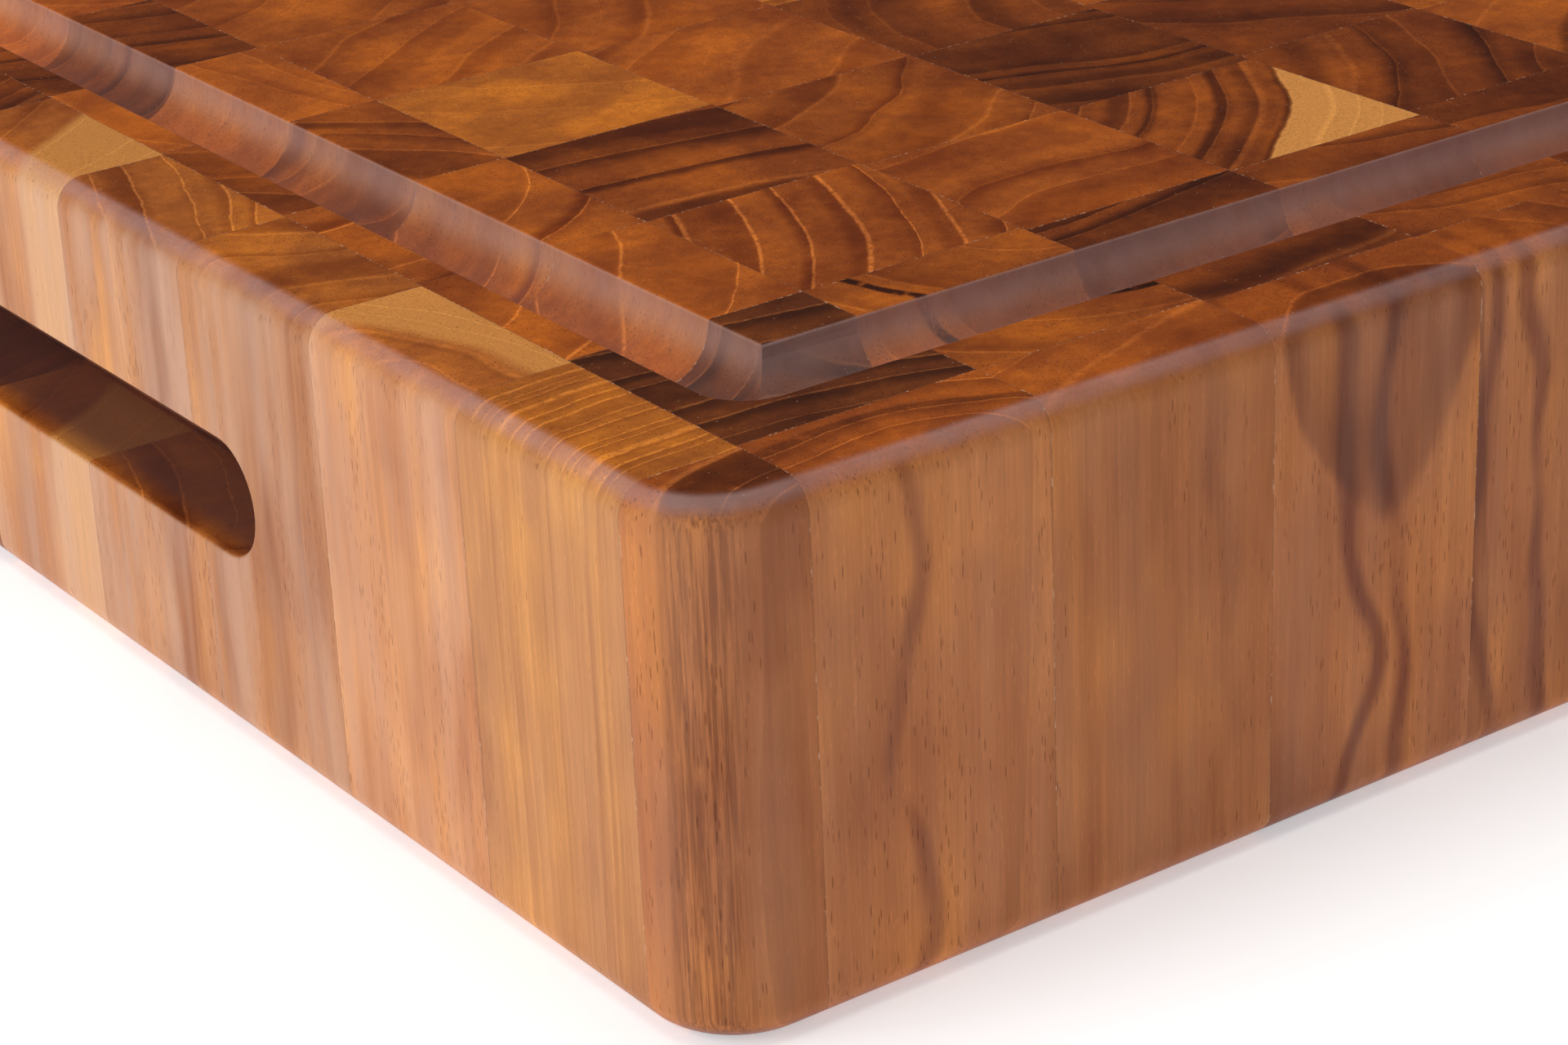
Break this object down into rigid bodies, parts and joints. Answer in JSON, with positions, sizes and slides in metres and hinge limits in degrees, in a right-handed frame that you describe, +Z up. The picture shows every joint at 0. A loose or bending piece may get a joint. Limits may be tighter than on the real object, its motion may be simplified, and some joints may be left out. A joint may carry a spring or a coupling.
{
  "type": "end grain cutting board",
  "caption": "Thick end-grain teak cutting board made of square blocks, with a juice groove around the top and a finger slot in each short end.",
  "frame": {"origin": "middle of the underside, on the surface the board stands on", "axes": "+X along the long side, +Y along the short side away from the front, +Z up out of the work surface"},
  "size_m": [0.431, 0.274, 0.0508],
  "materials": {
    "teak_dark": "oiled, semi-gloss",
    "teak_brown": "oiled, semi-gloss",
    "teak_rust": "oiled, semi-gloss",
    "teak_orange": "oiled, semi-gloss",
    "teak_golden": "oiled, semi-gloss",
    "teak_sapwood": "oiled, semi-gloss"
  },
  "bodies": {
    "root": {"strip_01_front_block": "teak_dark", "strip_01_inner_run": "teak_orange", "strip_01_back_block": "teak_rust", "strip_02_front_block": "teak_brown", "strip_02_inner_run": "teak_rust", "strip_02_back_block": "teak_golden", "strip_03_front_block": "teak_orange", "strip_03_inner_run": "teak_golden", "strip_03_back_block": "teak_brown", "strip_04_front_block": "teak_rust", "strip_04_inner_run": "teak_dark", "strip_04_back_block": "teak_orange", "strip_05_front_block": "teak_brown", "strip_05_inner_run": "teak_orange", "strip_05_back_block": "teak_dark", "strip_06_front_block": "teak_golden", "strip_06_inner_run": "teak_brown", "strip_06_back_block": "teak_rust", "strip_07_front_block": "teak_rust", "strip_07_inner_run": "teak_rust", "strip_07_back_block": "teak_orange", "strip_08_front_block": "teak_dark", "strip_08_inner_run": "teak_golden", "strip_08_back_block": "teak_brown", "strip_09_front_block": "teak_orange", "strip_09_inner_run": "teak_brown", "strip_09_back_block": "teak_sapwood", "strip_10_front_block": "teak_brown", "strip_10_inner_run": "teak_orange", "strip_10_back_block": "teak_rust", "strip_11_front_block": "teak_golden", "strip_11_inner_run": "teak_dark", "strip_11_back_block": "teak_brown", "strip_12_front_block": "teak_rust", "strip_12_inner_run": "teak_rust", "strip_12_back_block": "teak_orange", "strip_13_front_block": "teak_brown", "strip_13_inner_run": "teak_golden", "strip_13_back_block": "teak_dark", "strip_14_front_block": "teak_orange", "strip_14_inner_run": "teak_brown", "strip_14_back_block": "teak_golden", "strip_15_front_block": "teak_dark", "strip_15_inner_run": "teak_orange", "strip_15_back_block": "teak_rust", "strip_16_front_block": "teak_golden", "strip_16_inner_run": "teak_rust", "strip_16_back_block": "teak_brown", "strip_17_front_block": "teak_rust", "strip_17_inner_run": "teak_brown", "strip_17_back_block": "teak_orange", "strip_18_front_block": "teak_orange", "strip_18_inner_run": "teak_golden", "strip_18_back_block": "teak_dark"}
  },
  "joints": []
}
